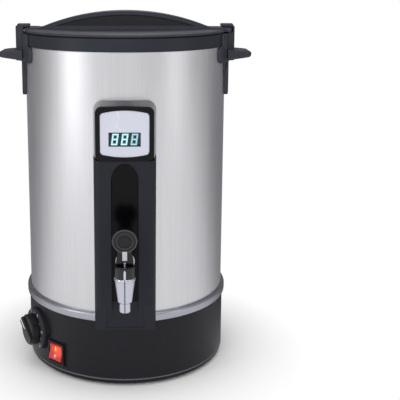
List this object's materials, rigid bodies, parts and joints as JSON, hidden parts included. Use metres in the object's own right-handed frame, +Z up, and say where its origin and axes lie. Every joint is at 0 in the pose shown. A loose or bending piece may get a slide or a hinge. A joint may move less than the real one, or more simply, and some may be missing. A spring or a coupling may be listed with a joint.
{
  "type": "candle wax melter",
  "caption": "Round electric wax melter with a steel shell, inner pot, bayonet lid, side handles, display column, front tap, thermostat knob and rocker switch.",
  "frame": {"origin": "on the urn's axis, on the surface that the feet stand on", "axes": "+Z up, -Y towards the tap (front), +X to the right of a person who faces the tap"},
  "size_m": [0.276, 0.2878, 0.39],
  "materials": {
    "shell_steel": "brushed",
    "trim_steel": "brushed",
    "pot_steel": "satin",
    "shield_steel": "zinc plated",
    "plate_aluminium": "cast",
    "element_steel": "oxidised",
    "fastener_steel": "zinc plated",
    "tap_chrome": "polished",
    "pin_brass": "plain",
    "bulb_copper": "plain",
    "base_plastic": "fine grain",
    "collar_plastic": "fine grain",
    "lid_plastic": "fine grain",
    "handle_plastic": "fine grain",
    "column_plastic": "fine grain",
    "hood_silver": "silver painted",
    "bezel_black": "gloss",
    "panel_silver": "silver painted",
    "window_tint": "tinted",
    "display_dark": "gloss",
    "digit_cyan": "lit",
    "board_green": "lacquered",
    "lever_black": "gloss",
    "badge_grey": "silver painted",
    "dial_grey": "fine grain",
    "knob_black": "fine grain",
    "pointer_white": "gloss",
    "switch_black": "gloss",
    "rocker_red": "translucent gloss",
    "foot_rubber": "plain",
    "seal_silicone": "plain",
    "washer_silicone": "plain",
    "lead_insulation": "plain",
    "terminal_cream": "plain",
    "cutout_brown": "moulded"
  },
  "bodies": {
    "urn": {"rubber_feet": "foot_rubber", "bottom_cover": "base_plastic", "bottom_screws": "fastener_steel", "base_housing": "base_plastic", "trim_ring": "trim_steel", "ring_screws": "fastener_steel", "outer_shell": "shell_steel", "top_collar": "collar_plastic", "inner_pot": "pot_steel", "heating_plate": "plate_aluminium", "heating_element": "element_steel", "pot_studs": "fastener_steel", "plate_nuts": "fastener_steel", "heat_shield": "shield_steel", "thermal_cutout": "cutout_brown", "terminal_block": "terminal_cream", "thermostat_body": "plate_aluminium", "thermostat_bulb": "bulb_copper", "internal_leads": "lead_insulation", "inlet_socket": "switch_black", "inlet_pins": "pin_brass", "inlet_screws": "fastener_steel", "front_column": "column_plastic", "column_screws": "fastener_steel", "display_surround": "hood_silver", "display_bezel": "bezel_black", "display_panel": "panel_silver", "display_window": "window_tint", "display_module": "display_dark", "display_digits": "digit_cyan", "display_board": "board_green", "tap_body": "tap_chrome", "tap_washers": "washer_silicone", "shank_nut": "tap_chrome", "tap_bonnet": "lever_black", "bonnet_clip": "tap_chrome", "valve_spring": "fastener_steel", "handle_right": "handle_plastic", "handle_left": "handle_plastic", "handle_screws": "fastener_steel", "dial_plate": "dial_grey", "dial_nut": "fastener_steel", "switch_housing": "switch_black", "temperature_probe": "shield_steel"},
    "lid_seal": {"lid_seal": "seal_silicone"},
    "lid": {"lid": "lid_plastic", "lid_liner": "pot_steel", "lid_screws": "fastener_steel"},
    "tap_lever": {"tap_lever": "lever_black", "lever_badge": "badge_grey", "lever_pins": "fastener_steel"},
    "valve": {"valve_stem": "fastener_steel", "valve_disc": "washer_silicone"},
    "knob": {"control_knob": "knob_black", "knob_pointer": "pointer_white", "thermostat_spindle": "fastener_steel"},
    "rocker": {"switch_rocker": "rocker_red"}
  },
  "joints": [
    {"name": "lid_lift", "type": "slide", "parent": "urn", "child": "lid_seal", "axis": [0, 0, 1], "range_m": [0, 0.2]},
    {"name": "lid_turn", "type": "hinge", "parent": "lid_seal", "child": "lid", "pos_m": [0, 0, 0.3675], "axis": [0, 0, 1], "range_deg": [0, 9]},
    {"name": "lever_pull", "type": "hinge", "parent": "urn", "child": "tap_lever", "pos_m": [0, -0.16, 0.157], "axis": [1, 0, 0], "range_deg": [0, 45], "stiffness_Nm_per_rad": 0.03},
    {"name": "valve_lift", "type": "slide", "parent": "urn", "child": "valve", "axis": [0, 0, 1], "range_m": [0, 0.004], "deforming": ["valve_spring"]},
    {"name": "knob_turn", "type": "hinge", "parent": "urn", "child": "knob", "pos_m": [-0.09883, -0.05478, 0.042], "axis": [0.8746, 0.4848, 0], "range_deg": [0, 270]},
    {"name": "rocker_tip", "type": "hinge", "parent": "urn", "child": "rocker", "pos_m": [-0.07347, -0.0816, 0.026], "axis": [0.7431, -0.6691, 0], "range_deg": [0, 16]}
  ],
  "couplings": [
    {"joint": "valve_lift", "follows": "lever_pull", "m_per_rad": 0.00506}
  ]
}
